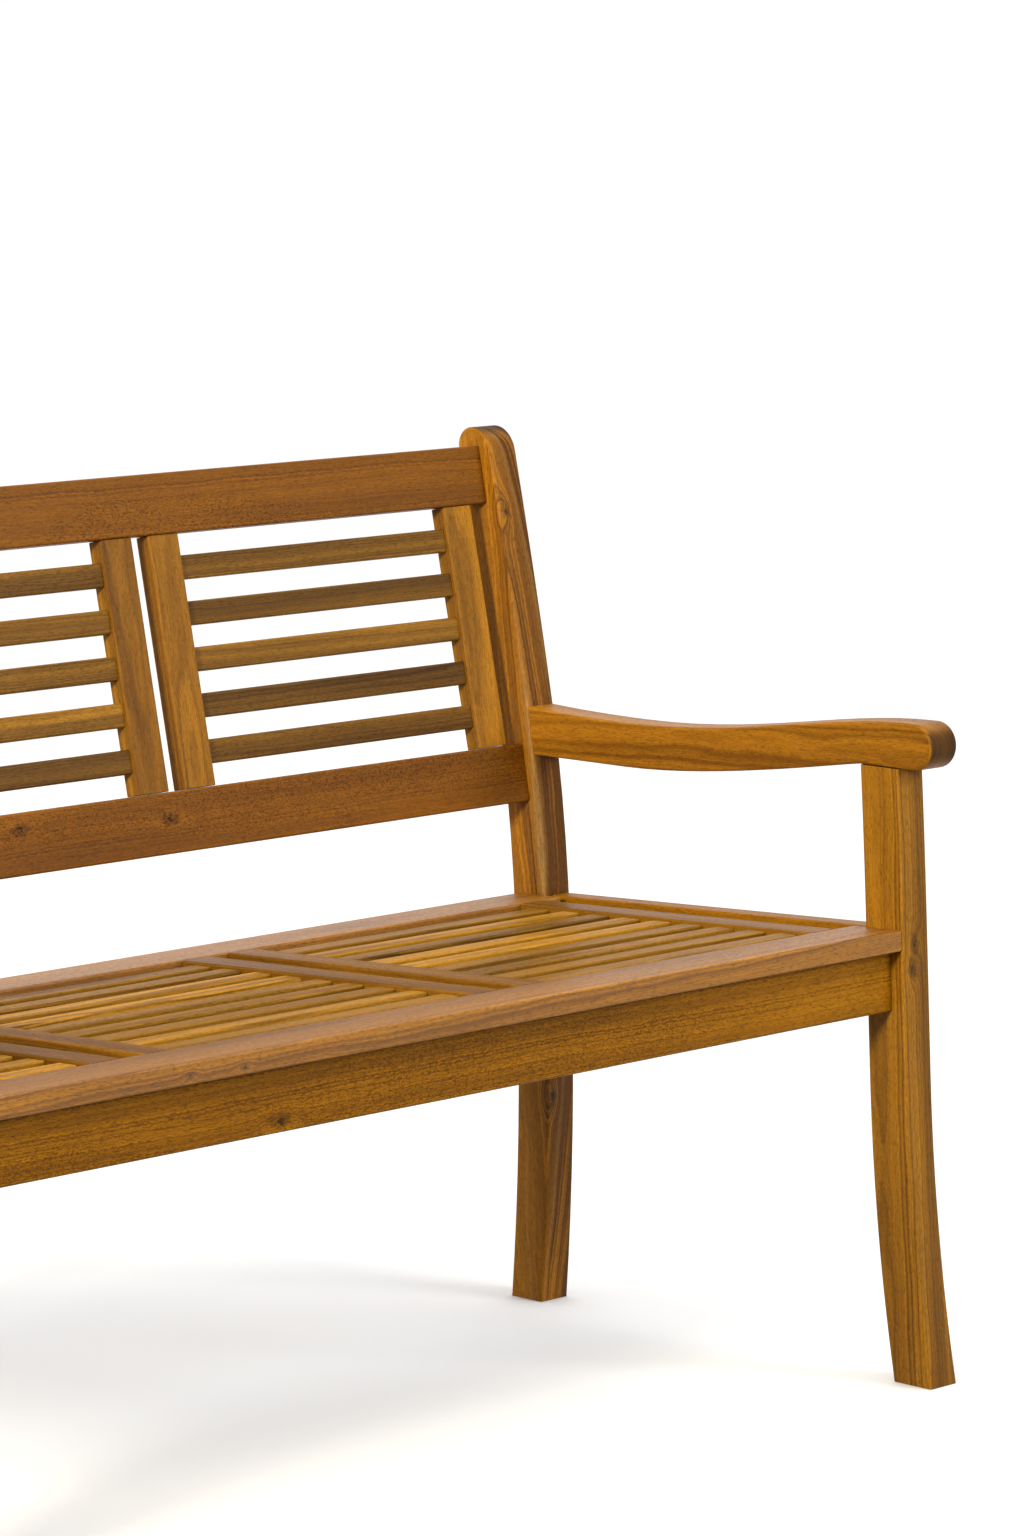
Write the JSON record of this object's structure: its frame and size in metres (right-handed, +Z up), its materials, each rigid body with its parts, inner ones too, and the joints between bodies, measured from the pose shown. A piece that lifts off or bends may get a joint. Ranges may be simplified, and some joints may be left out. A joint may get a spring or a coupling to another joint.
{
  "type": "garden bench",
  "caption": "Slatted wooden garden bench with curved arms, sabre legs, a reclined slatted panel back and a slatted seat in bays.",
  "frame": {"origin": "on the ground, under the middle of the bench's outline", "axes": "+X along the bench to the sitter's left side, -Y towards the front, +Z up"},
  "size_m": [1.5, 0.6516, 0.9054],
  "materials": {
    "acacia_frame": "oiled acacia, fine straight grain, soft satin",
    "acacia_boards": "oiled acacia with dark pores, satin with a pale sheen on top faces",
    "acacia_slats": "oiled acacia, tone varies from slat to slat",
    "acacia_panels": "oiled acacia, tone varies from slat to slat",
    "zinc_steel": "zinc plated, satin"
  },
  "bodies": {
    "root": {"armrest_left": "acacia_frame", "armrest_right": "acacia_frame", "back_lower_rail": "acacia_boards", "back_panel_left": "acacia_panels", "back_panel_middle": "acacia_panels", "back_panel_right": "acacia_panels", "back_top_rail": "acacia_boards", "bolt_front_apron_left": "zinc_steel", "bolt_front_apron_right": "zinc_steel", "bolt_lower_rail_left": "zinc_steel", "bolt_lower_rail_right": "zinc_steel", "bolt_rear_apron_left": "zinc_steel", "bolt_rear_apron_right": "zinc_steel", "bolt_top_rail_left": "zinc_steel", "bolt_top_rail_right": "zinc_steel", "front_apron": "acacia_boards", "front_leg_left": "acacia_frame", "front_leg_right": "acacia_frame", "rear_apron": "acacia_boards", "rear_post_left": "acacia_frame", "rear_post_right": "acacia_frame", "seat_bar_1": "acacia_boards", "seat_bar_2": "acacia_boards", "seat_bar_3": "acacia_boards", "seat_bar_4": "acacia_boards", "seat_bar_5": "acacia_boards", "seat_bar_6": "acacia_boards", "seat_front_board": "acacia_boards", "seat_rear_board": "acacia_boards", "seat_slat_left_1": "acacia_slats", "seat_slat_left_2": "acacia_slats", "seat_slat_left_3": "acacia_slats", "seat_slat_left_4": "acacia_slats", "seat_slat_left_5": "acacia_slats", "seat_slat_left_6": "acacia_slats", "seat_slat_left_7": "acacia_slats", "seat_slat_left_8": "acacia_slats", "seat_slat_left_9": "acacia_slats", "seat_slat_middle_1": "acacia_slats", "seat_slat_middle_2": "acacia_slats", "seat_slat_middle_3": "acacia_slats", "seat_slat_middle_4": "acacia_slats", "seat_slat_middle_5": "acacia_slats", "seat_slat_middle_6": "acacia_slats", "seat_slat_middle_7": "acacia_slats", "seat_slat_middle_8": "acacia_slats", "seat_slat_middle_9": "acacia_slats", "seat_slat_right_1": "acacia_slats", "seat_slat_right_2": "acacia_slats", "seat_slat_right_3": "acacia_slats", "seat_slat_right_4": "acacia_slats", "seat_slat_right_5": "acacia_slats", "seat_slat_right_6": "acacia_slats", "seat_slat_right_7": "acacia_slats", "seat_slat_right_8": "acacia_slats", "seat_slat_right_9": "acacia_slats", "side_rail_left": "acacia_frame", "side_rail_right": "acacia_frame"}
  },
  "joints": []
}
